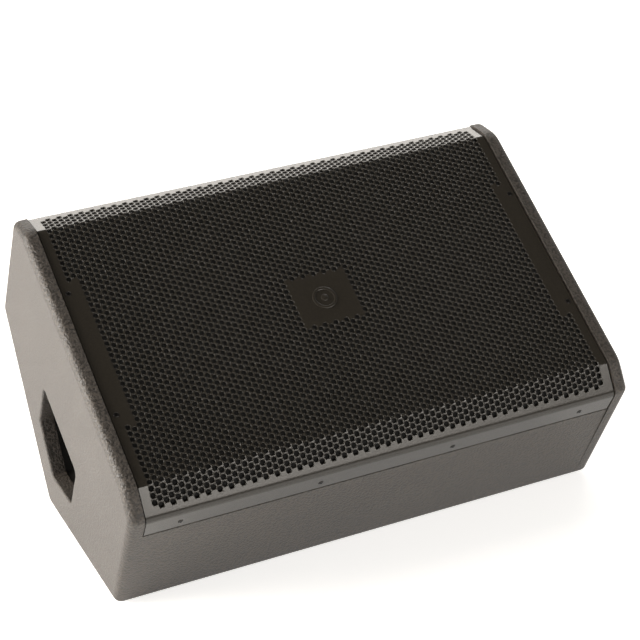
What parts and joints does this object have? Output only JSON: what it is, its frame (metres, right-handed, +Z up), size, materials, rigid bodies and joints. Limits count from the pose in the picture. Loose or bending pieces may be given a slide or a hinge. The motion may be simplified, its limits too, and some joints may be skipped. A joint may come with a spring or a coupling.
{
  "type": "stage monitor wedge",
  "caption": "Floor wedge loudspeaker with a bent perforated steel grille between two plywood cheeks, recessed hand pockets and input sockets in one of them.",
  "frame": {"origin": "on the floor under the middle of the whole box", "axes": "+X to the right across the width as seen from the grille, -Y towards the listener in front of the grille, +Z up; the baffle leans back from -Y low to +Y high at 32 degrees to the floor"},
  "size_m": [0.698, 0.5061, 0.4263],
  "materials": {
    "cabinet_paint": "spatter-textured hard black coating on plywood",
    "birch_plywood": "plywood painted black inside",
    "grille_powder_coat": "satin black powder coat",
    "acoustic_foam": "open-cell foam",
    "black_zinc": "black zinc",
    "bright_zinc": "bright zinc",
    "cup_steel": "matt black powder coat",
    "anodised_plate": "black anodised",
    "socket_plastic": "glass-filled nylon",
    "slider_plastic": "moulded grey plastic",
    "moulded_plastic": "moulded black plastic",
    "rubber": "matt",
    "cast_frame": "black-coated die-cast aluminium",
    "paper_cone": "felted paper pulp",
    "coil_wire": "enamelled copper winding",
    "surround_cloth": "doped cloth",
    "ferrite": "sintered ferrite",
    "plated_steel": "zinc-plated steel",
    "phase_plug_plastic": "moulded",
    "titanium_foil": "formed metal foil",
    "terminal_board": "glass-epoxy board",
    "brass_tabs": "tinned",
    "crossover_parts": "sleeved film capacitors and cement resistors",
    "copper_coils": "enamelled copper",
    "lead_sheath": "soft PVC",
    "wadding": "polyester wadding"
  },
  "bodies": {
    "enclosure": {"baffle_board": "birch_plywood", "bottom_panel": "cabinet_paint", "brace_board": "birch_plywood", "crossover_board": "terminal_board", "crossover_capacitors": "crossover_parts", "crossover_coils": "copper_coils", "crossover_resistors": "crossover_parts", "crossover_standoffs": "crossover_parts", "cup_screws": "bright_zinc", "damping_wadding": "wadding", "driver_bolts": "bright_zinc", "driver_front_plate": "plated_steel", "driver_lead": "lead_sheath", "driver_magnet": "ferrite", "driver_phase_plug": "phase_plug_plastic", "driver_rear_cover": "cast_frame", "floor_feet": "rubber", "foot_screws": "bright_zinc", "front_panel": "cabinet_paint", "grille": "grille_powder_coat", "grille_foam": "acoustic_foam", "grille_rails": "birch_plywood", "grille_screws": "black_zinc", "input_lead": "lead_sheath", "input_plate": "anodised_plate", "input_socket_a": "socket_plastic", "input_socket_b": "socket_plastic", "left_handle_cup": "cup_steel", "lower_port_tube": "moulded_plastic", "plate_screws": "bright_zinc", "rear_feet": "rubber", "rear_panel": "cabinet_paint", "right_handle_cup": "cup_steel", "selector_body": "socket_plastic", "side_panel_left": "cabinet_paint", "side_panel_right": "cabinet_paint", "socket_screws": "bright_zinc", "top_panel": "cabinet_paint", "upper_port_tube": "moulded_plastic", "waveguide": "moulded_plastic", "waveguide_gasket": "rubber", "waveguide_screws": "black_zinc", "woofer_basket": "cast_frame", "woofer_bolts": "black_zinc", "woofer_gasket": "rubber", "woofer_lead": "lead_sheath", "woofer_magnet": "ferrite", "woofer_pole_piece": "plated_steel", "woofer_spider": "surround_cloth", "woofer_surround": "surround_cloth", "woofer_tag_board": "terminal_board", "woofer_terminals": "brass_tabs", "woofer_top_plate": "plated_steel"},
    "cone": {"woofer_cone": "paper_cone", "dust_cap": "paper_cone", "voice_coil": "coil_wire"},
    "diaphragm": {"driver_diaphragm": "titanium_foil"},
    "selector": {"selector_slider": "slider_plastic"}
  },
  "joints": [
    {"name": "woofer_travel", "type": "slide", "parent": "enclosure", "child": "cone", "axis": [0, -0.5299, 0.848], "range_m": [-0.0065, 0.0065], "stiffness_N_per_m": 6700, "deforming": ["woofer_surround", "woofer_spider"]},
    {"name": "diaphragm_travel", "type": "slide", "parent": "enclosure", "child": "diaphragm", "axis": [0, -0.5299, 0.848], "range_m": [-0.0005, 0.0005], "stiffness_N_per_m": 6000},
    {"name": "selector_slide", "type": "slide", "parent": "enclosure", "child": "selector", "axis": [0, 0.848, 0.5299], "range_m": [0, 0.004]}
  ]
}
